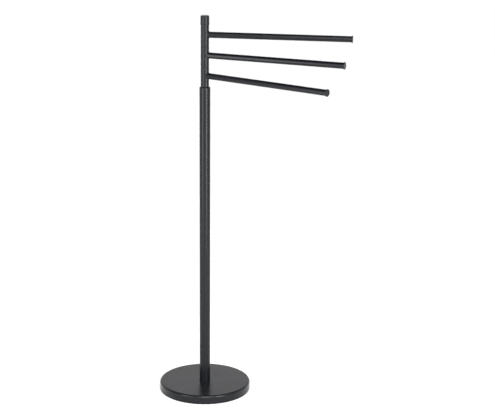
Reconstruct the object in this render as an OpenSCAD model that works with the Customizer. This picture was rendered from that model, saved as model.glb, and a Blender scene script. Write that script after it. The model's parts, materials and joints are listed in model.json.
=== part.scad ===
// Floor-standing towel rack: a weighted round base, a two-piece column and three arms that swivel on a rod.
// Millimetres. +Z is up, the origin is on the floor under the column's axis, and +X runs along the middle arm.

/* [Base] */
// Outside diameter of the base cover
base_d = 214; // [170:1:300]
// Height of the cover's top face above the floor
base_h = 21; // [17:0.5:35]
// Sheet thickness of the pressed cover
cover_t = 1; // [0.6:0.1:1.5]
// Outside radius of the cover's rolled top edge
cover_edge_r = 4.5; // [2:0.5:8]
// Height of the cover's lower edge above the floor
cover_lift = 0.8; // [0.4:0.1:1]
// Thickness of the rubber ring that the rack stands on
foot_t = 2; // [1.2:0.1:3]
// Width of the rubber ring, from its outer to its inner edge
foot_w = 22; // [10:1:35]
// Thickness of the cast weight's disc
weight_t = 9; // [6:0.5:11]
// Diameter of the weight's hub, which carries the column
hub_d = 54; // [42:1:80]

/* [Column] */
// Outside diameter of both column tubes
column_d = 25; // [20.5:0.5:35]
// Wall of both column tubes
column_wall = 1.2; // [0.8:0.1:2]
// Length of the lower column tube
lower_tube_len = 347; // [200:1:500]
// Length of the upper column tube
upper_tube_len = 358; // [200:1:500]
// Thickness of the plastic ring under the column
foot_ring_t = 1.5; // [1:0.1:3]
// Thickness of the plastic ring between the two column tubes
joint_ring_t = 0.8; // [0.5:0.1:2]
// Height of the collar's flange on top of the column
collar_t = 3; // [2.5:0.5:6]

/* [Head] */
// Outside diameter of the sleeves that the arms are welded to
sleeve_d = 19; // [16:0.5:24]
// Wall of the sleeves
sleeve_wall = 1.5; // [1:0.1:1.8]
// Height from one arm to the next
arm_pitch = 46.6; // [36:0.2:80]
// Diameter of the pivot rod
rod_d = 10; // [9:0.5:12]
// Length of each bush inside its sleeve
bush_len = 10; // [5:0.5:14]
// Thickness of a bush's flange
bush_flange_t = 0.8; // [0.5:0.1:2]
// Height of the cap on top of the rod
cap_h = 21.5; // [15:0.5:30]
// How far the cap stands out past the sleeves at its lower edge
cap_proud = 0.7; // [0.3:0.1:2]
// Radius of the cap's top edge
cap_edge_r = 2.5; // [0.5:0.5:3]

/* [Arms] */
// Distance from the column's axis to the outer face of an arm's end plug
arm_reach = 334; // [180:1:450]
// Outside diameter of the arm tubes
arm_d = 14; // [10:0.5:17]
// Wall of the arm tubes
arm_wall = 1; // [0.6:0.1:1.5]
// Height of an arm's axis above the middle of its sleeve
arm_rise = 2.5; // [-4:0.5:4]
// Angle from the middle arm to the lower arm as they stand
lower_turn = 14.2; // [0:0.1:180]
// Angle from the middle arm to the upper arm as they stand, to the other side
upper_turn = 13.2; // [0:0.1:180]
// How far the end plug's flange stands out past the tube
plug_proud = 1.3; // [0.5:0.1:3]
// Thickness of the end plug's flange
plug_t = 2.2; // [1.5:0.1:4]
// Length of the end plug's spigot inside the tube
spigot_len = 14; // [8:1:25]

/* [Clearances] */
// Radial gap of a part pressed into another
press_gap = 0.02; // [0.01:0.01:0.05]
// Radial running gap between the bushes and the rod
run_gap = 0.06; // [0.02:0.01:0.1]
// Radial gap where a screw thread meets its nut or hole
thread_gap = 0.05; // [0.02:0.01:0.1]
// Gap between faces that turn past each other
turn_gap = 0.3; // [0.1:0.05:0.5]
// Radial gap where a bolt or rod passes through a plain hole
pass_gap = 0.3; // [0.1:0.1:0.5]

/* [Hidden] */
$fn = 96;

// Colours
coat_black = [0.16, 0.16, 0.17];
plastic_black = [0.20, 0.20, 0.21];
nylon_black = [0.12, 0.12, 0.12];
zinc_steel = [0.70, 0.71, 0.72];
iron_grey = [0.30, 0.30, 0.31];
rubber_black = [0.10, 0.10, 0.10];

// How far a cutting shape runs past the face that it opens
cut = 1;

// M8 hardware of the base and the head
m8_d = 8;
m8_head_af = 13;
m8_head_h = 5.3;
m8_nut_h = 8;
m8_spring_d = 14.8;
m8_spring_t = 2;
m8_flat_d = 24;
m8_flat_t = 2;
m8_pass_r = m8_d / 2 + pass_gap;
m8_thread_r = m8_d / 2 + thread_gap;
spring_split = 1.2;
spring_split_angle = 40;
thread_chamfer = 1;
crown_share = 0.08;

// Base
cover_fit = 0.4;
bolt_hidden = 0.7;
foot_inset = 4;
weight_r = base_d / 2 - cover_t - cover_fit;
foot_r = weight_r - foot_inset;
weight_chamfer = 1.5;
hub_top = base_h - cover_t;
recess_d = m8_flat_d + 6;
recess_depth = m8_flat_t + m8_spring_t + m8_head_h + bolt_hidden;
recess_top = foot_t + recess_depth;
bolt_seat = recess_top - m8_flat_t - m8_spring_t;
bolt_grip = 15;

// Column, from the base up
column_r = column_d / 2;
column_in_r = column_r - column_wall;
insert_r = column_in_r - press_gap;
insert_len = 28;
foot_ring_proud = 0.7;
joint_ring_in = 0.3;
tube_z = base_h + foot_ring_t;
bolt_top = tube_z + bolt_grip;
joint_z = tube_z + lower_tube_len;
stud_in_each = insert_len - 4;
upper_tube_z = joint_z + joint_ring_t;
collar_z = upper_tube_z + upper_tube_len;
head_z = collar_z + collar_t;
collar_edge_r = 2;
collar_spigot = 10;

// Pivot rod, screwed into an insert in the column and locked by a nut that has room to turn there
pivot_insert_top = collar_z - collar_spigot;
pivot_insert_z = pivot_insert_top - insert_len;
rod_r = rod_d / 2;
rod_nut_room = 2.1;
rod_nut_af = (column_in_r - rod_nut_room) * sqrt(3);
rod_nut_h = 6;
rod_past_nut = 2;
rod_z = pivot_insert_z - rod_nut_h - rod_past_nut;

// Head, from the collar up
sleeve_r = sleeve_d / 2;
sleeve_in_r = sleeve_r - sleeve_wall;
flange_in = 0.2;
flange_r = sleeve_r - flange_in;
sleeve_len = arm_pitch - 2 * bush_flange_t - turn_gap;
shoulder_z = head_z + turn_gap + 3 * arm_pitch;
thrust_t = 1.2;
cap_z = shoulder_z + thrust_t;
nut_z = cap_z + m8_spring_t;
cap_r = sleeve_r + cap_proud;
cap_taper = 0.25;
cap_roof_t = 2;
cap_nut_gap = 0.3;
cap_cavity_r = m8_head_af / sqrt(3) + cap_nut_gap;
cap_boss_r = m8_d / 2 + 1.8;
cap_boss_gap = 0.5;
cap_boss_z = nut_z + m8_nut_h + cap_boss_gap;
cap_roof_z = cap_z + cap_h - cap_roof_t;
rod_top = cap_roof_z - 1;

// Arms
arm_r = arm_d / 2;
weld_gap = 0.02;
arm_tube_end = arm_reach - plug_t;
plug_r = arm_r + plug_proud;
plug_edge_r = 0.8;
spigot_r = arm_r - arm_wall - press_gap;
spigot_wall = 1.6;
spigot_lead = 1;
spigot_lead_r = spigot_r - 0.5;
spigot_start = arm_tube_end - spigot_len;

// Lowest face of a level, where level 0 is the lower arm's, 1 the middle arm's and 2 the upper arm's
function level_z(level) = head_z + turn_gap + level * arm_pitch;
function sleeve_z(level) = level_z(level) + bush_flange_t;
function arm_z(level) = sleeve_z(level) + sleeve_len / 2 + arm_rise;
function arm_angle(level) = [-lower_turn, 0, upper_turn][level];

// Shapes used more than once

module at_z(z) translate([0, 0, z]) children();

module ring(outer_r, inner_r, h) difference() {
    cylinder(r = outer_r, h = h);
    at_z(-cut) cylinder(r = inner_r, h = h + 2 * cut);
}

// A disc whose top edge is rounded, and whose side leans in by taper on the way up
module rounded_disc(r, h, edge_r, taper = 0) rotate_extrude() {
    rounding_x = r - taper - edge_r;
    polygon([[0, 0], [r, 0], [r - taper, h - edge_r], [rounding_x, h - edge_r], [rounding_x, h], [0, h]]);
    intersection() {
        translate([rounding_x, h - edge_r]) circle(r = edge_r);
        translate([rounding_x, h - edge_r]) square(edge_r);
    }
}

// A cylinder whose lower end is chamfered
module chamfered_end(r, h, chamfer) {
    cylinder(r1 = r - chamfer, r2 = r, h = chamfer);
    at_z(chamfer) cylinder(r = r, h = h - chamfer);
}

// A hexagon with the corners of its top face taken off
module hex_head(across_flats, h) intersection() {
    corner_r = across_flats / sqrt(3);
    crown_h = crown_share * across_flats;
    cylinder(r = corner_r, h = h, $fn = 6);
    union() {
        cylinder(r = across_flats, h = h - crown_h);
        at_z(h - crown_h) cylinder(r1 = corner_r, r2 = across_flats / 2, h = crown_h);
    }
}

module hex_nut(across_flats, h, hole_r) difference() {
    hex_head(across_flats, h);
    at_z(-cut) cylinder(r = hole_r, h = h + 2 * cut);
}

module spring_washer(hole_r) difference() {
    ring(m8_spring_d / 2, hole_r, m8_spring_t);
    rotate([0, 0, spring_split_angle]) translate([0, -spring_split / 2, -cut])
        cube([m8_spring_d, spring_split, m8_spring_t + 2 * cut]);
}

module threaded_insert(hole_r) color(zinc_steel) ring(insert_r, hole_r, insert_len);

// Base

module foot_ring() color(rubber_black) ring(foot_r, foot_r - foot_w, foot_t);

module base_weight() color(iron_grey) difference() {
    union() {
        at_z(foot_t + weight_t) mirror([0, 0, 1]) chamfered_end(weight_r, weight_t, weight_chamfer);
        at_z(foot_t) cylinder(d = hub_d, h = hub_top - foot_t);
    }
    at_z(foot_t - cut) cylinder(d = recess_d, h = recess_depth + cut);
    cylinder(r = m8_pass_r, h = base_h);
}

module base_cover() color(coat_black) difference() {
    at_z(cover_lift) rounded_disc(base_d / 2, base_h - cover_lift, cover_edge_r);
    rounded_disc(base_d / 2 - cover_t, hub_top, cover_edge_r - cover_t);
    cylinder(r = m8_pass_r, h = base_h + cut);
}

module base_flat_washer() color(zinc_steel)
    at_z(recess_top - m8_flat_t) ring(m8_flat_d / 2, m8_pass_r, m8_flat_t);

module base_spring_washer() color(zinc_steel) at_z(bolt_seat) spring_washer(m8_pass_r);

module base_bolt() color(zinc_steel) {
    at_z(bolt_seat) mirror([0, 0, 1]) hex_head(m8_head_af, m8_head_h);
    at_z(bolt_top) mirror([0, 0, 1]) chamfered_end(m8_d / 2, bolt_top - bolt_seat, thread_chamfer);
}

// Column

module column_foot_ring() color(plastic_black)
    at_z(base_h) ring(column_r + foot_ring_proud, m8_pass_r, foot_ring_t);

module column_tube(z, length) color(coat_black) at_z(z) ring(column_r, column_in_r, length);

module column_foot_insert() at_z(tube_z) threaded_insert(m8_thread_r);

module column_lower_insert() at_z(joint_z - insert_len) threaded_insert(m8_thread_r);

module column_upper_insert() at_z(upper_tube_z) threaded_insert(m8_thread_r);

module column_joint_ring() color(plastic_black)
    at_z(joint_z) ring(column_r - joint_ring_in, m8_pass_r, joint_ring_t);

module column_joint_stud() color(zinc_steel) {
    half = stud_in_each + joint_ring_t / 2;
    at_z(joint_z - stud_in_each) chamfered_end(m8_d / 2, half, thread_chamfer);
    at_z(upper_tube_z + stud_in_each) mirror([0, 0, 1]) chamfered_end(m8_d / 2, half, thread_chamfer);
}

module column_collar() color(plastic_black) difference() {
    union() {
        at_z(collar_z) rounded_disc(column_r, collar_t, collar_edge_r);
        at_z(pivot_insert_top) cylinder(r = insert_r, h = collar_spigot);
    }
    at_z(pivot_insert_top - cut) cylinder(r = rod_r + pass_gap, h = head_z - pivot_insert_top + 2 * cut);
}

// Pivot

module pivot_insert() at_z(pivot_insert_z) threaded_insert(rod_r + thread_gap);

module pivot_lock_nut() color(zinc_steel)
    at_z(pivot_insert_z) mirror([0, 0, 1]) hex_nut(rod_nut_af, rod_nut_h, rod_r + thread_gap);

// The rod is thinner above the shoulder that the head's nut clamps the thrust washer to
module pivot_rod() color(zinc_steel) {
    at_z(rod_z) chamfered_end(rod_r, shoulder_z - rod_z, thread_chamfer);
    at_z(rod_top) mirror([0, 0, 1]) chamfered_end(m8_d / 2, rod_top - shoulder_z, thread_chamfer);
}

// Arms: a sleeve with a flanged bush in each end, a tube welded to it and a plug in the tube

module sleeve(level) color(coat_black) at_z(sleeve_z(level)) ring(sleeve_r, sleeve_in_r, sleeve_len);

// A bush with its flange at the bottom
module bush() color(nylon_black) difference() {
    union() {
        cylinder(r = flange_r, h = bush_flange_t);
        cylinder(r = sleeve_in_r - press_gap, h = bush_flange_t + bush_len);
    }
    at_z(-cut) cylinder(r = rod_r + run_gap, h = bush_flange_t + bush_len + 2 * cut);
}

module bottom_bush(level) at_z(level_z(level)) bush();

module top_bush(level) at_z(sleeve_z(level) + sleeve_len + bush_flange_t) mirror([0, 0, 1]) bush();

// Lays what is drawn along +Z out along an arm
module along_arm(level) at_z(arm_z(level)) rotate([0, 0, arm_angle(level)]) rotate([0, 90, 0]) children();

// The tube's inner end is cut to the curve of its sleeve
module arm_tube(level) color(coat_black) difference() {
    along_arm(level) ring(arm_r, arm_r - arm_wall, arm_tube_end);
    at_z(arm_z(level) - arm_d) cylinder(r = sleeve_r + weld_gap, h = 2 * arm_d);
}

// The plug is hollow behind its flange, and its spigot has a lead-in
module arm_plug(level) color(plastic_black) along_arm(level) difference() {
    union() {
        at_z(arm_tube_end) rounded_disc(plug_r, plug_t, plug_edge_r);
        at_z(spigot_start + spigot_lead) cylinder(r = spigot_r, h = spigot_len - spigot_lead);
        at_z(spigot_start) cylinder(r1 = spigot_lead_r, r2 = spigot_r, h = spigot_lead);
    }
    at_z(spigot_start - cut) cylinder(r = spigot_r - spigot_wall, h = spigot_len + cut);
}

// Head: what holds the sleeves down on the rod

module thrust_washer() color(coat_black) at_z(shoulder_z) ring(flange_r, m8_thread_r, thrust_t);

module head_spring_washer() color(zinc_steel) at_z(cap_z) spring_washer(m8_thread_r);

module head_nut() color(zinc_steel) at_z(nut_z) hex_nut(m8_head_af, m8_nut_h, m8_thread_r);

// The cap is hollow round the nut, and a boss under its roof is pressed onto the rod
module head_cap() color(plastic_black) difference() {
    at_z(cap_z) rounded_disc(cap_r, cap_h, cap_edge_r, cap_taper);
    at_z(cap_z - cut) cylinder(r = cap_cavity_r, h = cap_boss_z - cap_z + cut);
    at_z(cap_boss_z) ring(cap_cavity_r, cap_boss_r, cap_roof_z - cap_boss_z);
    at_z(cap_boss_z - cut) cylinder(r = m8_d / 2 + press_gap, h = cap_roof_z - cap_boss_z + cut);
}

foot_ring();
base_weight();
base_cover();
base_bolt();
base_spring_washer();
base_flat_washer();
column_foot_ring();
column_foot_insert();
column_tube(tube_z, lower_tube_len);  // column_lower_tube
column_lower_insert();
column_joint_ring();
column_joint_stud();
column_upper_insert();
column_tube(upper_tube_z, upper_tube_len);  // column_upper_tube
pivot_insert();
pivot_lock_nut();
pivot_rod();
column_collar();
sleeve(0);  // lower_sleeve
bottom_bush(0);  // lower_bottom_bush
top_bush(0);  // lower_top_bush
arm_tube(0);  // lower_arm_tube
arm_plug(0);  // lower_arm_plug
sleeve(1);  // middle_sleeve
bottom_bush(1);  // middle_bottom_bush
top_bush(1);  // middle_top_bush
arm_tube(1);  // middle_arm_tube
arm_plug(1);  // middle_arm_plug
sleeve(2);  // upper_sleeve
bottom_bush(2);  // upper_bottom_bush
top_bush(2);  // upper_top_bush
arm_tube(2);  // upper_arm_tube
arm_plug(2);  // upper_arm_plug
thrust_washer();
head_spring_washer();
head_nut();
head_cap();
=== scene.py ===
import json
import math

import bmesh
import bpy
from mathutils import Matrix, Vector


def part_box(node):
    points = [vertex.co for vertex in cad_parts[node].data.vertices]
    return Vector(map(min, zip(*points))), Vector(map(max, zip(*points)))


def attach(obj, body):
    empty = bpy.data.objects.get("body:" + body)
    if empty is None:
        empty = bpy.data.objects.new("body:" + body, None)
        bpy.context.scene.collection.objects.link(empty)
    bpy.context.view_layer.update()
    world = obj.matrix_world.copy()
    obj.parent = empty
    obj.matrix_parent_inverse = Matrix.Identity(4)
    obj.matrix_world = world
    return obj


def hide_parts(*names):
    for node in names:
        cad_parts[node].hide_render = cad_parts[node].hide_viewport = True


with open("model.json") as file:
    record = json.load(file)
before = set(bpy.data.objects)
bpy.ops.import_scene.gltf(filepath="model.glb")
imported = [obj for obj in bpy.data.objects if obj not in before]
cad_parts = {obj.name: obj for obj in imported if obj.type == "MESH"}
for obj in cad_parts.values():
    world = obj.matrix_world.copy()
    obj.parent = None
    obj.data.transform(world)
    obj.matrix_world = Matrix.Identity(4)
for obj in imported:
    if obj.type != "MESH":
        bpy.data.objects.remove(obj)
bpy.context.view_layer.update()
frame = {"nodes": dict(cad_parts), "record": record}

mm = 0.001
armSides = ["lower", "middle", "upper"]

# How close to a place an edge or a face lies to be picked, and how close points are merged
pickHeight = 0.02 * mm
pickRadius = 0.06 * mm
pickCentre = 0.1 * mm
mergeDistance = 0.005 * mm


# A node's lowest and highest place along an axis, 0 to 2, as the frame gives them
def low(node, axis):
    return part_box(node)[0][axis]


def high(node, axis):
    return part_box(node)[1][axis]


def radiusOf(node):
    return (high(node, 1) - low(node, 1)) / 2


# Selecting and shaping, as in edit mode
def deselectAll():
    if bpy.context.mode != "OBJECT":
        bpy.ops.object.mode_set(mode="OBJECT")
    bpy.ops.object.select_all(action="DESELECT")


def makeActive(piece):
    deselectAll()
    piece.select_set(True)
    bpy.context.view_layer.objects.active = piece


def startEditing(piece, kind="FACE"):
    # In edit mode, with nothing picked
    makeActive(piece)
    bpy.ops.object.mode_set(mode="EDIT")
    bpy.ops.mesh.select_mode(type=kind)
    bpy.ops.mesh.select_all(action="DESELECT")


def stopEditing():
    bpy.ops.object.mode_set(mode="OBJECT")


def pickFaces(rule):
    # The rule gets a face's centre and its normal
    mesh = bpy.context.edit_object.data
    bpy.ops.mesh.select_mode(type="FACE")
    bpy.ops.mesh.select_all(action="DESELECT")
    shape = bmesh.from_edit_mesh(mesh)
    for face in shape.faces:
        if rule(face.calc_center_median(), face.normal):
            face.select_set(True)
    bmesh.update_edit_mesh(mesh)


def pickEdges(rule):
    # The rule gets an edge's two ends
    mesh = bpy.context.edit_object.data
    bpy.ops.mesh.select_mode(type="EDGE")
    bpy.ops.mesh.select_all(action="DESELECT")
    shape = bmesh.from_edit_mesh(mesh)
    for edge in shape.edges:
        if rule(edge.verts[0].co, edge.verts[1].co):
            edge.select_set(True)
    bmesh.update_edit_mesh(mesh)


def pickRing(radius, height=None):
    # The edges of a round outline about the Z axis, at one height or at all of them
    def onRing(point):
        atRadius = abs(math.hypot(point.x, point.y) - radius) < pickRadius
        return atRadius and (height is None or abs(point.z - height) < pickHeight)

    pickEdges(lambda a, b: onRing(a) and onRing(b))


def joinHoleEdges(radius):
    # Walls a hole whose two outlines are open
    pickRing(radius)
    bpy.ops.mesh.bridge_edge_loops()
    bpy.ops.mesh.select_all(action="SELECT")
    bpy.ops.mesh.normals_make_consistent(inside=False)


def pickEndFace(height, up=True):
    # The face in the middle of an end, which looks up or down
    def isEnd(centre, normal):
        facing = normal.z > 0.9 if up else normal.z < -0.9
        inMiddle = math.hypot(centre.x, centre.y) < pickCentre
        return facing and inMiddle and abs(centre.z - height) < pickHeight

    pickFaces(isEnd)


def insetBy(thickness, depth=0.0):
    bpy.ops.mesh.inset(thickness=thickness, depth=depth)


def extrudeAlongZ(distance):
    bpy.ops.mesh.extrude_region_move(TRANSFORM_OT_translate={"value": (0, 0, distance)})


def bevelPicked(width, segments):
    bpy.ops.mesh.bevel(offset=width, offset_type="OFFSET", segments=segments, profile=0.5,
                       affect="EDGES")


def shrinkPicked(fromRadius, by):
    # Pulls a round outline in towards the Z axis
    part = 1 - by / fromRadius
    bpy.ops.transform.resize(value=(part, part, 1))


def applyPlace():
    # The place goes into the mesh, and the object stays at the origin
    bpy.ops.object.transform_apply(location=True, rotation=True, scale=True)


def addCylinder(name, radius, bottom, top, sides, fill="NGON", turn=0):
    deselectAll()
    bpy.ops.mesh.primitive_cylinder_add(
        vertices=sides, radius=radius, depth=top - bottom, end_fill_type=fill,
        location=(0, 0, (top + bottom) / 2), rotation=(0, 0, math.radians(turn)))
    piece = bpy.context.object
    piece.name = name
    piece.data.name = name
    applyPlace()
    return piece


def applyModifier(piece, kind, **settings):
    makeActive(piece)
    modifier = piece.modifiers.new(kind.title(), kind)
    for setting, value in settings.items():
        setattr(modifier, setting, value)
    bpy.ops.object.modifier_apply(modifier=modifier.name)


def roundEdges(piece, width, segments=2, angle=35):
    applyModifier(piece, "BEVEL", width=width, segments=segments, limit_method="ANGLE",
                  angle_limit=math.radians(angle), harden_normals=False)


def smoothShade(piece, angle=32):
    # Weighted normals keep long flat runs from shading like pillows
    makeActive(piece)
    bpy.ops.object.shade_smooth_by_angle(angle=math.radians(angle))
    applyModifier(piece, "WEIGHTED_NORMAL", mode="FACE_AREA", weight=100, keep_sharp=True)


def thickenInwards(piece, wall):
    applyModifier(piece, "SOLIDIFY", thickness=wall, offset=-1, use_even_offset=True, use_rim=True)


def addTube(name, radius, wall, bottom, top, sides, edgeWidth):
    # An open pipe with a wall and slightly rounded ends
    piece = addCylinder(name, radius, bottom, top, sides, fill="NOTHING")
    thickenInwards(piece, wall)
    roundEdges(piece, edgeWidth)
    return piece


def mergeDoubles(piece):
    startEditing(piece, "VERT")
    bpy.ops.mesh.select_all(action="SELECT")
    bpy.ops.mesh.remove_doubles(threshold=mergeDistance)
    bpy.ops.mesh.dissolve_degenerate(threshold=mergeDistance)
    bpy.ops.mesh.select_all(action="SELECT")
    bpy.ops.mesh.normals_make_consistent(inside=False)
    stopEditing()


def placeCopy(piece, name, matrix):
    copied = piece.copy()
    copied.data = piece.data.copy()
    copied.name = name
    copied.data.name = name
    bpy.context.scene.collection.objects.link(copied)
    copied.matrix_world = matrix
    makeActive(copied)
    applyPlace()
    return copied


def removePiece(piece):
    bpy.data.objects.remove(piece, do_unlink=True)


# A new material, with values for its shader's sockets
def newFinish(name, **sockets):
    finish = bpy.data.materials.new(name)
    finish.use_nodes = True
    shader = finish.node_tree.nodes["Principled BSDF"]
    for socket, value in sockets.items():
        shader.inputs[socket].default_value = value
    return finish, finish.node_tree, shader


def addNode(tree, kind, settings=None, **inputs):
    node = tree.nodes.new(kind)
    for setting, value in (settings or {}).items():
        setattr(node, setting, value)
    for socket, value in inputs.items():
        if isinstance(value, bpy.types.NodeSocket):
            tree.links.new(value, node.inputs[socket])
        else:
            node.inputs[socket].default_value = value
    return node


def objectPlace(tree):
    return addNode(tree, "ShaderNodeTexCoord").outputs["Object"]


def noiseOf(tree, place, grainSize, detail=2.0, roughness=0.5):
    # grainSize is about how far apart the pattern's bumps are
    return addNode(tree, "ShaderNodeTexNoise", Vector=place, Scale=1 / grainSize, Detail=detail,
                   Roughness=roughness).outputs["Fac"]


def spread(tree, value, lowest, highest, fromLow=0.3, fromHigh=0.7):
    return addNode(tree, "ShaderNodeMapRange", {"clamp": True}, **{
        "Value": value, "From Min": fromLow, "From Max": fromHigh,
        "To Min": lowest, "To Max": highest,
    }).outputs["Result"]


def fade(tree, value, fromLow, fromHigh):
    return addNode(tree, "ShaderNodeMapRange", {"interpolation_type": "SMOOTHSTEP"}, **{
        "Value": value, "From Min": fromLow, "From Max": fromHigh}).outputs["Result"]


def sumOf(tree, first, second):
    node = addNode(tree, "ShaderNodeMath", {"operation": "ADD"})
    tree.links.new(first, node.inputs[0])
    tree.links.new(second, node.inputs[1])
    return node.outputs[0]


def mixColours(tree, amount, first, second):
    # Sockets 6 and 7 are the two colours of a Mix node, and 2 is what it gives
    node = addNode(tree, "ShaderNodeMix", {"data_type": "RGBA"}, Factor=amount)
    for socket, value in zip((node.inputs[6], node.inputs[7]), (first, second)):
        if isinstance(value, bpy.types.NodeSocket):
            tree.links.new(value, socket)
        else:
            socket.default_value = value
    return node.outputs[2]


def colourBy(tree, shader, amount, look):
    colour = mixColours(tree, amount, look["dark"], look["light"])
    tree.links.new(colour, shader.inputs["Base Color"])


def dullBy(tree, shader, amount, look):
    tree.links.new(spread(tree, amount, *look["shine"]), shader.inputs["Roughness"])


def raiseBumps(tree, shader, layers):
    # Each layer is a height, its depth and how strongly it shows
    normal = None
    for height, depth, strength in layers:
        node = addNode(tree, "ShaderNodeBump", Height=height, Distance=depth, Strength=strength)
        if normal is not None:
            tree.links.new(normal, node.inputs["Normal"])
        normal = node.outputs["Normal"]
    tree.links.new(normal, shader.inputs["Normal"])


# The dark and light colours are mixed by a pattern, and shine is the least and the most roughness
coatLook = {
    "dark": (0.0019, 0.0024, 0.0036, 1), "light": (0.0031, 0.0038, 0.0054, 1),
    "shine": (0.24, 0.30), "ior": 1.33, "peelSize": 1.6 * mm, "peelDepth": 0.004 * mm,
    "grainSize": 0.35 * mm, "grainDepth": 0.002 * mm, "cloudSize": 45 * mm,
    "rubSize": 14 * mm, "rubbedAbove": (0.60, 0.70), "rubDulling": 0.05,
}


def satinPowderCoat():
    finish, tree, shader = newFinish("satinPowderCoat", IOR=coatLook["ior"])
    place = objectPlace(tree)
    cloud = noiseOf(tree, place, coatLook["cloudSize"], detail=3)
    peel = noiseOf(tree, place, coatLook["peelSize"], detail=1.5)
    grain = noiseOf(tree, place, coatLook["grainSize"], detail=2)
    rub = noiseOf(tree, place, coatLook["rubSize"], detail=6, roughness=0.65)
    colourBy(tree, shader, grain, coatLook)
    dulled = spread(tree, rub, 0, coatLook["rubDulling"], *coatLook["rubbedAbove"])
    roughness = sumOf(tree, spread(tree, cloud, *coatLook["shine"]), dulled)
    tree.links.new(roughness, shader.inputs["Roughness"])
    raiseBumps(tree, shader, [(peel, coatLook["peelDepth"], 1.0),
                              (grain, coatLook["grainDepth"], 1.0)])
    return finish


plasticLook = {
    "dark": (0.0022, 0.0027, 0.0038, 1), "light": (0.0040, 0.0046, 0.0060, 1),
    "shine": (0.26, 0.32), "ior": 1.33, "grainSize": 0.5 * mm, "grainDepth": 0.004 * mm,
    "cloudSize": 12 * mm,
}


def mouldedPlastic():
    finish, tree, shader = newFinish("mouldedPlastic", IOR=plasticLook["ior"])
    place = objectPlace(tree)
    cloud = noiseOf(tree, place, plasticLook["cloudSize"])
    grain = noiseOf(tree, place, plasticLook["grainSize"], detail=3)
    colourBy(tree, shader, grain, plasticLook)
    dullBy(tree, shader, cloud, plasticLook)
    raiseBumps(tree, shader, [(grain, plasticLook["grainDepth"], 1.0)])
    return finish


nylonLook = {
    "dark": (0.0020, 0.0020, 0.0022, 1), "light": (0.0040, 0.0040, 0.0043, 1),
    "shine": (0.45, 0.55), "ior": 1.38, "grainSize": 0.8 * mm, "grainDepth": 0.003 * mm,
}


def blackNylon():
    finish, tree, shader = newFinish("blackNylon", IOR=nylonLook["ior"])
    grain = noiseOf(tree, objectPlace(tree), nylonLook["grainSize"], detail=3)
    colourBy(tree, shader, grain, nylonLook)
    dullBy(tree, shader, grain, nylonLook)
    raiseBumps(tree, shader, [(grain, nylonLook["grainDepth"], 1.0)])
    return finish


zincLook = {
    "dark": (0.50, 0.51, 0.53, 1), "light": (0.68, 0.67, 0.63, 1),
    "shine": (0.24, 0.40), "metallic": 1.0, "patchSize": 3 * mm, "grainSize": 0.25 * mm,
    "grainDepth": 0.003 * mm,
}


def zincPlate():
    finish, tree, shader = newFinish("zincPlate", Metallic=zincLook["metallic"])
    place = objectPlace(tree)
    patch = noiseOf(tree, place, zincLook["patchSize"], detail=4)
    grain = noiseOf(tree, place, zincLook["grainSize"])
    colourBy(tree, shader, patch, zincLook)
    dullBy(tree, shader, patch, zincLook)
    raiseBumps(tree, shader, [(grain, zincLook["grainDepth"], 1.0)])
    return finish


ironLook = {
    "dark": (0.030, 0.030, 0.031, 1), "light": (0.075, 0.074, 0.073, 1),
    "shine": (0.55, 0.75), "metallic": 0.2, "sandSize": 1.1 * mm, "sandDepth": 0.12 * mm,
    "sandStrength": 0.8, "scaleSize": 9 * mm, "scaleDepth": 0.25 * mm, "scaleStrength": 0.6,
}


def castIron():
    finish, tree, shader = newFinish("castIron", Metallic=ironLook["metallic"])
    place = objectPlace(tree)
    sand = noiseOf(tree, place, ironLook["sandSize"], detail=5, roughness=0.6)
    scale = noiseOf(tree, place, ironLook["scaleSize"], detail=3)
    colourBy(tree, shader, scale, ironLook)
    dullBy(tree, shader, sand, ironLook)
    raiseBumps(tree, shader, [(scale, ironLook["scaleDepth"], ironLook["scaleStrength"]),
                              (sand, ironLook["sandDepth"], ironLook["sandStrength"])])
    return finish


rubberLook = {
    "dark": (0.010, 0.010, 0.010, 1), "light": (0.021, 0.021, 0.022, 1),
    "shine": (0.70, 0.85), "grainSize": 0.6 * mm, "grainDepth": 0.02 * mm, "grainStrength": 0.8,
}


def footRubber():
    finish, tree, shader = newFinish("footRubber")
    grain = noiseOf(tree, objectPlace(tree), rubberLook["grainSize"], detail=4)
    colourBy(tree, shader, grain, rubberLook)
    dullBy(tree, shader, grain, rubberLook)
    raiseBumps(tree, shader, [(grain, rubberLook["grainDepth"], rubberLook["grainStrength"])])
    return finish


# By the record's material slots
finishes = {
    "coated_steel": satinPowderCoat(),
    "black_plastic": mouldedPlastic(),
    "black_nylon": blackNylon(),
    "zinc_steel": zincPlate(),
    "cast_weight": castIron(),
    "foot_rubber": footRubber(),
}
print("finishes made:", len(finishes))

# Every CAD node gets its finish; those that no piece replaces stay as they are
slotOf = {row["node"]: row["material_slot"] for row in frame["record"]["subparts"]}
for node, cadPiece in frame["nodes"].items():
    cadPiece.data.materials.clear()
    cadPiece.data.materials.append(finishes[slotOf[node]])


def finishPiece(piece, body, node=None, slot=None):
    # Shades it, gives it its finish, ties it to its body and hides the CAD node that it replaces
    smoothShade(piece)
    slot = slot or slotOf[node]
    piece.data.materials.clear()
    piece.data.materials.append(finishes[slot])
    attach(piece, body)
    if node:
        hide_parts(node)
    return piece


# Base: rubber ring, weight, cover and bolt

footLook = {
    "sides": 144, "width": 22 * mm, "edgeWidth": 0.35 * mm,
    "lip": 3.5 * mm, "bevelRun": 0.4 * mm, "recess": 0.45 * mm,
}


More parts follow.
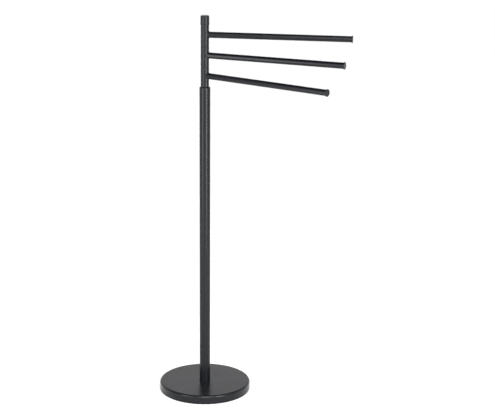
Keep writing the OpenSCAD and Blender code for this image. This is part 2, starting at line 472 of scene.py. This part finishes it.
def makeFootRing():
    # A flat rubber ring with a lip along each edge of its underside
    radius = radiusOf("foot_ring")
    bottom, top = low("foot_ring", 2), high("foot_ring", 2)
    piece = addTube("footRing", radius, footLook["width"], bottom, top, footLook["sides"],
                    footLook["edgeWidth"])
    startEditing(piece)
    pickFaces(lambda centre, normal: normal.z < -0.99 and abs(centre.z - bottom) < pickHeight)
    insetBy(footLook["lip"])
    insetBy(footLook["bevelRun"], -footLook["recess"])
    stopEditing()
    return finishPiece(piece, "stand", "foot_ring")


weightLook = {
    "sides": 144, "discThickness": 9 * mm, "edgeWidth": 1.4 * mm, "edgeSegments": 3,
    "hubRadius": 27 * mm, "hubDraft": 0.8 * mm, "boltHole": 4.3 * mm,
    "recessRadius": 15 * mm, "recessDepth": 10 * mm,
    "ribOuter": 62 * mm, "ribWidth": 2.2 * mm, "ribDepth": 0.8 * mm, "castRounding": 0.4 * mm,
}


def makeBaseWeight():
    # A cast disc with a hub on top, a bolt recess below and a shallow groove in its underside
    look, radius = weightLook, radiusOf("base_weight")
    bottom, hubTop = low("base_weight", 2), high("base_weight", 2)
    discTop = bottom + look["discThickness"]
    piece = addCylinder("baseWeight", radius, bottom, discTop, look["sides"])
    startEditing(piece)
    for height in (bottom, discTop):
        pickRing(radius, height)
        bevelPicked(look["edgeWidth"], look["edgeSegments"])
    # The hub, with its draft and its hole
    pickEndFace(discTop)
    insetBy(radius - look["edgeWidth"] - look["hubRadius"])
    extrudeAlongZ(hubTop - discTop)
    shrinkPicked(look["hubRadius"], look["hubDraft"])
    insetBy(look["hubRadius"] - look["hubDraft"] - look["boltHole"])
    bpy.ops.mesh.delete(type="FACE")
    # The underside, from its edge to its middle
    pickEndFace(bottom, up=False)
    insetBy(radius - look["edgeWidth"] - look["ribOuter"])
    insetBy(look["ribDepth"], -look["ribDepth"])
    insetBy(look["ribWidth"])
    insetBy(look["ribDepth"], look["ribDepth"])
    insetBy(look["ribOuter"] - look["ribWidth"] - 2 * look["ribDepth"] - look["recessRadius"])
    extrudeAlongZ(look["recessDepth"])
    insetBy(look["recessRadius"] - look["boltHole"])
    bpy.ops.mesh.delete(type="FACE")
    joinHoleEdges(look["boltHole"])
    stopEditing()
    roundEdges(piece, look["castRounding"], angle=40)
    return finishPiece(piece, "stand", "base_weight")


coverLook = {
    "sides": 192, "sheet": 1.0 * mm, "rimRounding": 4.5 * mm, "rimSegments": 12,
    "flatRun": 0.5 * mm, "boltHole": 4.3 * mm, "edgeWidth": 0.25 * mm,
}


def makeBaseCover():
    # A pressed sheet: a disc with a rolled edge, open below, with a hole for the bolt
    radius = radiusOf("base_cover")
    bottom, top = low("base_cover", 2), high("base_cover", 2)
    piece = addCylinder("baseCover", radius, bottom, top, coverLook["sides"])
    startEditing(piece)
    pickEndFace(bottom, up=False)
    bpy.ops.mesh.delete(type="ONLY_FACE")
    pickRing(radius, top)
    bevelPicked(coverLook["rimRounding"], coverLook["rimSegments"])
    pickEndFace(top)
    insetBy(coverLook["flatRun"])
    insetBy(radius - coverLook["rimRounding"] - coverLook["flatRun"] - coverLook["boltHole"])
    bpy.ops.mesh.delete(type="FACE")
    stopEditing()
    thickenInwards(piece, coverLook["sheet"])
    roundEdges(piece, coverLook["edgeWidth"], angle=60)
    return finishPiece(piece, "stand", "base_cover")


boltLook = {
    "sides": 72, "threadRadius": 4.0 * mm, "tip": 0.8 * mm,
    "headDepth": 5.3 * mm, "acrossFlats": 13 * mm, "turnedOff": 0.1 * mm,
    "coneFlare": 8 * mm, "coneSpare": 2 * mm, "shankInHead": 2 * mm,
}


def makeBaseBolt():
    # A hexagon head with its corners turned off below, on a plain shank
    look = boltLook
    bottom, top = low("base_bolt", 2), high("base_bolt", 2)
    seat = bottom + look["headDepth"]
    corner = look["acrossFlats"] / math.sqrt(3)
    piece = addCylinder("baseBolt", corner, bottom, seat, 6, turn=30)
    deselectAll()
    bpy.ops.mesh.primitive_cone_add(
        vertices=look["sides"], radius1=look["acrossFlats"] / 2 - look["turnedOff"],
        radius2=corner + look["coneFlare"], depth=look["headDepth"] + look["coneSpare"],
        location=(0, 0, bottom + look["headDepth"] / 2 + look["coneSpare"] / 2))
    turned = bpy.context.object
    applyModifier(piece, "BOOLEAN", operation="INTERSECT", object=turned, solver="EXACT")
    removePiece(turned)
    shank = addCylinder("baseBoltShank", look["threadRadius"], seat - look["shankInHead"], top,
                        look["sides"])
    startEditing(shank)
    pickRing(look["threadRadius"], top)
    bevelPicked(look["tip"], 1)
    stopEditing()
    applyModifier(piece, "BOOLEAN", operation="UNION", object=shank, solver="EXACT")
    removePiece(shank)
    mergeDoubles(piece)
    return finishPiece(piece, "stand", "base_bolt")


makeFootRing()
makeBaseWeight()
makeBaseCover()
makeBaseBolt()
print("base made")

# Column: two tubes, the rings that they stand on and the collar

tubeLook = {"sides": 96, "wall": 1.2 * mm, "edgeWidth": 0.35 * mm}


def makeColumnTube(name, node):
    piece = addTube(name, radiusOf(node), tubeLook["wall"], low(node, 2), high(node, 2),
                    tubeLook["sides"], tubeLook["edgeWidth"])
    return finishPiece(piece, "stand", node)


ringLook = {"sides": 96, "hole": 4.3 * mm, "edgeWidth": 0.3 * mm}


def makeRing(name, node, look):
    # A flat ring with a round hole
    radius = radiusOf(node)
    piece = addTube(name, radius, radius - look["hole"], low(node, 2), high(node, 2),
                    look["sides"], look["edgeWidth"])
    return finishPiece(piece, "stand", node)


collarLook = {
    "sides": 96, "height": 3 * mm, "rounding": 2 * mm, "roundingSegments": 8, "hole": 5.3 * mm,
    "spigotGap": 0.02 * mm, "lead": 0.6 * mm,
}


def makeCollar():
    # The plug in the column's top: a rounded flange, a spigot below and a hole for the pivot rod
    node = "column_collar"
    radius, top = radiusOf(node), high(node, 2)
    seat = top - collarLook["height"]
    piece = addCylinder("columnCollar", radius, seat, top, collarLook["sides"])
    startEditing(piece)
    pickRing(radius, top)
    bevelPicked(collarLook["rounding"], collarLook["roundingSegments"])
    pickEndFace(top)
    insetBy(radius - collarLook["rounding"] - collarLook["hole"])
    bpy.ops.mesh.delete(type="FACE")
    pickEndFace(seat, up=False)
    spigotRadius = radius - tubeLook["wall"] - collarLook["spigotGap"]
    insetBy(radius - spigotRadius)
    extrudeAlongZ(low(node, 2) + collarLook["lead"] - seat)
    extrudeAlongZ(-collarLook["lead"])
    shrinkPicked(spigotRadius, collarLook["lead"])
    insetBy(spigotRadius - collarLook["lead"] - collarLook["hole"])
    bpy.ops.mesh.delete(type="FACE")
    joinHoleEdges(collarLook["hole"])
    stopEditing()
    return finishPiece(piece, "stand", node)


makeColumnTube("lowerColumnTube", "column_lower_tube")
makeColumnTube("upperColumnTube", "column_upper_tube")
makeRing("columnFootRing", "column_foot_ring", ringLook)
makeRing("columnJointRing", "column_joint_ring", ringLook)
makeCollar()
print("column made")

# Arms: each piece is modelled once and copied to three heights

armRadius = radiusOf("middle_arm_tube")
sleeveRadius = radiusOf("middle_sleeve")
plugRadius = radiusOf("middle_arm_plug")
armReach = high("middle_arm_plug", 0)
tubeEnd = high("middle_arm_tube", 0)

sleeveLook = {"sides": 96, "wall": 1.5 * mm, "edgeWidth": 0.3 * mm}


def makeSleeve():
    length = high("middle_sleeve", 2) - low("middle_sleeve", 2)
    return addTube("sleeve", sleeveRadius, sleeveLook["wall"], 0, length, sleeveLook["sides"],
                   sleeveLook["edgeWidth"])


bushLook = {
    "sides": 96, "flange": 0.8 * mm, "hole": 5.06 * mm, "gap": 0.02 * mm, "lead": 0.4 * mm,
    "edgeWidth": 0.15 * mm,
}


def makeBush():
    # Stands on its flange; the rest goes up inside the sleeve
    node = "middle_bottom_bush"
    radius, height = radiusOf(node), high(node, 2) - low(node, 2)
    inSleeve = sleeveRadius - sleeveLook["wall"] - bushLook["gap"]
    piece = addCylinder("bush", radius, 0, bushLook["flange"], bushLook["sides"])
    startEditing(piece)
    pickEndFace(bushLook["flange"])
    insetBy(radius - inSleeve)
    extrudeAlongZ(height - bushLook["flange"] - bushLook["lead"])
    extrudeAlongZ(bushLook["lead"])
    shrinkPicked(inSleeve, bushLook["lead"])
    insetBy(inSleeve - bushLook["lead"] - bushLook["hole"])
    bpy.ops.mesh.delete(type="FACE")
    pickEndFace(0, up=False)
    insetBy(radius - bushLook["hole"])
    bpy.ops.mesh.delete(type="FACE")
    joinHoleEdges(bushLook["hole"])
    stopEditing()
    roundEdges(piece, bushLook["edgeWidth"], angle=60)
    return piece


armLook = {
    "sides": 96, "wall": 1.0 * mm, "edgeWidth": 0.2 * mm,
    "cutterSides": 192, "sleeveGap": 0.02 * mm,
}


def addSleeveCutter():
    # The sleeve's outside, lying across the arm, which is made upright
    deselectAll()
    bpy.ops.mesh.primitive_cylinder_add(
        vertices=armLook["cutterSides"], radius=sleeveRadius + armLook["sleeveGap"],
        depth=6 * armRadius, rotation=(0, math.radians(90), 0))
    cutter = bpy.context.object
    applyPlace()
    return cutter


def makeArmTube(cutter):
    piece = addTube("armTube", armRadius, armLook["wall"], 0, tubeEnd, armLook["sides"],
                    armLook["edgeWidth"])
    applyModifier(piece, "BOOLEAN", operation="DIFFERENCE", object=cutter, solver="EXACT")
    return piece


weldLook = {
    "points": 96, "bead": 1.15 * mm, "beadSegments": 4, "outset": 0.1 * mm,
    "ripples": 30, "rippleDepth": 0.06,
}


def makeArmWeld(cutter):
    # A ring dropped onto the sleeve round the arm, thickened to a slightly rippled bead
    deselectAll()
    bpy.ops.mesh.primitive_circle_add(
        vertices=weldLook["points"], radius=armRadius + weldLook["outset"],
        location=(0, 0, 3 * sleeveRadius))
    piece = bpy.context.object
    applyPlace()
    applyModifier(piece, "SHRINKWRAP", wrap_method="PROJECT", target=cutter,
                  use_project_x=False, use_project_y=False, use_project_z=True,
                  use_negative_direction=True, use_positive_direction=False)
    bpy.ops.object.convert(target="CURVE")
    piece = bpy.context.object
    line = piece.data.splines[0]
    for number, point in enumerate(line.points):
        turn = 2 * math.pi * number / len(line.points)
        point.radius = 1 + weldLook["rippleDepth"] * math.sin(weldLook["ripples"] * turn)
    piece.data.bevel_depth = weldLook["bead"]
    piece.data.bevel_resolution = weldLook["beadSegments"]
    bpy.ops.object.convert(target="MESH")
    piece = bpy.context.object
    piece.name = "armWeld"
    return piece


plugLook = {
    "sides": 96, "rim": 0.8 * mm, "rimSegments": 6, "lip": 0.7 * mm,
    "dish": 0.35 * mm, "dishRun": 0.5 * mm,
    "gateRadius": 0.8 * mm, "gateRun": 0.15 * mm, "gateHeight": 0.12 * mm,
    "spigotLength": 14 * mm, "spigotWall": 1.6 * mm, "spigotGap": 0.02 * mm, "spigotLead": 0.5 * mm,
    "edgeWidth": 0.12 * mm,
}


def makeArmPlug():
    # A rounded flange with a dished face, and a hollow spigot that goes into the tube
    look = plugLook
    piece = addCylinder("armPlug", plugRadius, tubeEnd, armReach, look["sides"])
    startEditing(piece)
    pickRing(plugRadius, armReach)
    bevelPicked(look["rim"], look["rimSegments"])
    # The dish in the face, with the mark of the mould's gate in its middle
    pickEndFace(armReach)
    insetBy(look["lip"])
    insetBy(look["dishRun"], -look["dish"])
    dishRadius = plugRadius - look["rim"] - look["lip"] - look["dishRun"]
    insetBy(dishRadius - look["gateRadius"])
    insetBy(look["gateRun"], look["gateHeight"])
    # The spigot, with a tapered lead-in twice as long as it is deep
    pickEndFace(tubeEnd, up=False)
    spigotRadius = armRadius - armLook["wall"] - look["spigotGap"]
    insetBy(plugRadius - spigotRadius)
    extrudeAlongZ(look["spigotLead"] * 2 - look["spigotLength"])
    extrudeAlongZ(-look["spigotLead"] * 2)
    shrinkPicked(spigotRadius, look["spigotLead"])
    insetBy(look["spigotWall"] - look["spigotLead"])
    extrudeAlongZ(look["spigotLength"])
    stopEditing()
    roundEdges(piece, look["edgeWidth"], angle=40)
    return piece


def armTurn(node):
    # An arm's angle from the middle arm, from how far the corner of its tube's end lies to the side
    far = max(-low(node, 1), high(node, 1))
    turn = math.asin(far / math.hypot(tubeEnd, armRadius)) - math.atan2(armRadius, tubeEnd)
    return turn if high(node, 1) > -low(node, 1) else -turn


sleeveCutter = addSleeveCutter()
# By the end of a piece's name: the piece, the end of its CAD node's name and its slot
madeOnce = {
    "ArmTube": (makeArmTube(sleeveCutter), "_arm_tube", "coated_steel"),
    "ArmWeld": (makeArmWeld(sleeveCutter), None, "coated_steel"),
    "ArmPlug": (makeArmPlug(), "_arm_plug", "black_plastic"),
}
sleeve, bush = makeSleeve(), makeBush()
for side in armSides:
    body = side + "_arm"
    tubeNode, sleeveNode = side + "_arm_tube", side + "_sleeve"
    bottomNode, topNode = side + "_bottom_bush", side + "_top_bush"
    axisHeight = (low(tubeNode, 2) + high(tubeNode, 2)) / 2
    alongArm = (Matrix.Translation((0, 0, axisHeight)) @ Matrix.Rotation(armTurn(tubeNode), 4, "Z")
                @ Matrix.Rotation(math.radians(90), 4, "Y"))
    for name, (piece, ending, slot) in madeOnce.items():
        node = side + ending if ending else None
        finishPiece(placeCopy(piece, side + name, alongArm), body, node, slot)
    place = Matrix.Translation((0, 0, low(sleeveNode, 2)))
    finishPiece(placeCopy(sleeve, side + "Sleeve", place), body, sleeveNode)
    place = Matrix.Translation((0, 0, low(bottomNode, 2)))
    finishPiece(placeCopy(bush, side + "BottomBush", place), body, bottomNode)
    place = Matrix.Translation((0, 0, high(topNode, 2))) @ Matrix.Rotation(math.pi, 4, "X")
    finishPiece(placeCopy(bush, side + "TopBush", place), body, topNode)
for piece in [sleeveCutter, sleeve, bush] + [row[0] for row in madeOnce.values()]:
    removePiece(piece)
print("arms made:", len(armSides))

# Head: thrust washer and cap

washerLook = {"sides": 96, "hole": 4.05 * mm, "edgeWidth": 0.2 * mm}
capLook = {
    "sides": 96, "lean": 0.25 * mm, "rounding": 2.5 * mm, "roundingSegments": 8,
    "mouthEdge": 0.3 * mm, "cavityRadius": 7.8 * mm, "wallTop": 2 * mm,
    "bossRadius": 5.8 * mm, "bossHole": 4.02 * mm, "bossGap": 0.5 * mm,
}


def makeHeadCap():
    # A moulded cap that leans in a little, with a rounded top and a hollow for the nut
    node, look = "head_cap", capLook
    radius, bottom, top = radiusOf(node), low(node, 2), high(node, 2)
    piece = addCylinder("headCap", radius, bottom, top, look["sides"])
    startEditing(piece)
    pickEndFace(top)
    shrinkPicked(radius, look["lean"])
    pickRing(radius - look["lean"], top)
    bevelPicked(look["rounding"], look["roundingSegments"])
    pickEndFace(bottom, up=False)
    insetBy(radius - look["cavityRadius"])
    extrudeAlongZ(top - bottom - look["wallTop"])
    # A boss in the hollow comes down over the rod's end, to just above the nut
    insetBy(look["cavityRadius"] - look["bossRadius"])
    bossLength = top - look["wallTop"] - high("head_nut", 2) - look["bossGap"]
    extrudeAlongZ(-bossLength)
    insetBy(look["bossRadius"] - look["bossHole"])
    extrudeAlongZ(bossLength)
    stopEditing()
    roundEdges(piece, look["mouthEdge"], angle=60)
    return finishPiece(piece, "stand", node)


makeRing("thrustWasher", "thrust_washer", washerLook)
makeHeadCap()
print("head made")

# Studio: camera, floor, lights and room

cameraLook = {
    "lookAt": (0.0916, 0.0373, 0.4455), "azimuth": 22.2, "elevation": 15.29, "distance": 3.536,
    "roll": 0.43, "lens": 110.8, "sensor": 36.0,
}


def makeCamera():
    cameraData = bpy.data.cameras.new("camera")
    cameraData.lens = cameraLook["lens"]
    cameraData.sensor_width = cameraLook["sensor"]
    camera = bpy.data.objects.new("camera", cameraData)
    bpy.context.scene.collection.objects.link(camera)
    azimuth, elevation = math.radians(cameraLook["azimuth"]), math.radians(cameraLook["elevation"])
    # From the place that it looks at, back to the camera
    back = Vector((math.sin(azimuth) * math.cos(elevation),
                   -math.cos(azimuth) * math.cos(elevation),
                   math.sin(elevation)))
    facing = (-back).to_track_quat("-Z", "Y").to_matrix().to_4x4()
    place = Matrix.Translation(Vector(cameraLook["lookAt"]) + back * cameraLook["distance"])
    camera.matrix_world = place @ facing @ Matrix.Rotation(math.radians(cameraLook["roll"]), 4, "Z")
    bpy.context.scene.camera = camera


makeCamera()

floorLook = {
    "size": 60.0, "colour": (0.94, 0.94, 0.94, 1), "roughness": 0.9,
    "mottleSize": 0.4, "mottle": 1.01,
}


def makeFloor():
    deselectAll()
    bpy.ops.mesh.primitive_plane_add(size=floorLook["size"], location=(0, 0, 0))
    floor = bpy.context.object
    floor.name = "floor"
    finish, tree, shader = newFinish("paleFloor", Roughness=floorLook["roughness"])
    mottle = noiseOf(tree, objectPlace(tree), floorLook["mottleSize"], detail=3)
    paler = tuple(min(1, part * floorLook["mottle"]) for part in floorLook["colour"][:3]) + (1,)
    colour = mixColours(tree, mottle, floorLook["colour"], paler)
    tree.links.new(colour, shader.inputs["Base Color"])
    floor.data.materials.append(finish)


makeFloor()

# Bearings are in degrees to the camera's right, seen from above
softboxLook = {
    "rightSoftbox": {"bearing": 39, "distance": 1.7, "height": 0.78, "size": (0.45, 1.5),
                     "aim": 0.78, "power": 28},
    "leftSoftbox": {"bearing": -46, "distance": 1.7, "height": 0.78, "size": (0.75, 1.5),
                    "aim": 0.78, "power": 21},
    "frontSoftbox": {"bearing": 5, "distance": 3.7, "height": 1.5, "size": (2.0, 1.6),
                     "aim": 0.5, "power": 48},
}
overheadLook = {
    "frontOverhead": {"bearing": 3, "elevation": 42, "spread": 25, "strength": 2.35},
    "rightOverhead": {"bearing": 80, "elevation": 60, "spread": 40, "strength": 0.3},
}
overheadDistance = 4  # Where it is drawn only: a sun lights the same from any distance


def addLight(name, kind, place, aim):
    lightData = bpy.data.lights.new(name, kind)
    light = bpy.data.objects.new(name, lightData)
    bpy.context.scene.collection.objects.link(light)
    light.location = place
    light.rotation_euler = (Vector(aim) - Vector(place)).to_track_quat("-Z", "Y").to_euler()
    light.visible_camera = False
    return lightData


def fromBearing(bearing, distance, height):
    turn = math.radians(cameraLook["azimuth"] + bearing)
    return (distance * math.sin(turn), -distance * math.cos(turn), height)


def makeSoftbox(name, look):
    place = fromBearing(look["bearing"], look["distance"], look["height"])
    lightData = addLight(name, "AREA", place, (0, 0, look["aim"]))
    lightData.shape = "RECTANGLE"
    lightData.size, lightData.size_y = look["size"]
    lightData.energy = look["power"]


def makeOverhead(name, look):
    slope = math.radians(look["elevation"])
    place = fromBearing(look["bearing"], overheadDistance * math.cos(slope),
                        overheadDistance * math.sin(slope))
    lightData = addLight(name, "SUN", place, (0, 0, 0))
    lightData.angle = math.radians(look["spread"])
    lightData.energy = look["strength"]


for name, look in softboxLook.items():
    makeSoftbox(name, look)
for name, look in overheadLook.items():
    makeOverhead(name, look)

# The room is pale all round, a little brighter on the camera's side, and dark overhead
roomLook = {
    "front": (1.05, 1.05, 1.05, 1), "back": (1.03, 1.03, 1.04, 1),
    "overhead": (0.03, 0.03, 0.03, 1),
    "frontFade": (-0.35, 0.45), "overheadFade": (0.56, 0.78),
}


def makeRoom():
    world = bpy.data.worlds.new("room")
    world.use_nodes = True
    tree = world.node_tree
    direction = addNode(tree, "ShaderNodeTexCoord").outputs["Generated"]
    towardsFront = addNode(tree, "ShaderNodeVectorMath", {"operation": "DOT_PRODUCT"})
    tree.links.new(direction, towardsFront.inputs[0])
    towardsFront.inputs[1].default_value = fromBearing(0, 1, 0)
    height = addNode(tree, "ShaderNodeSeparateXYZ", Vector=direction).outputs["Z"]
    front = fade(tree, towardsFront.outputs["Value"], *roomLook["frontFade"])
    overhead = fade(tree, height, *roomLook["overheadFade"])
    walls = mixColours(tree, front, roomLook["back"], roomLook["front"])
    colour = mixColours(tree, overhead, walls, roomLook["overhead"])
    tree.links.new(colour, tree.nodes["Background"].inputs["Color"])
    bpy.context.scene.world = world


makeRoom()
bpy.context.scene.view_settings.view_transform = "Standard"
print("studio made")
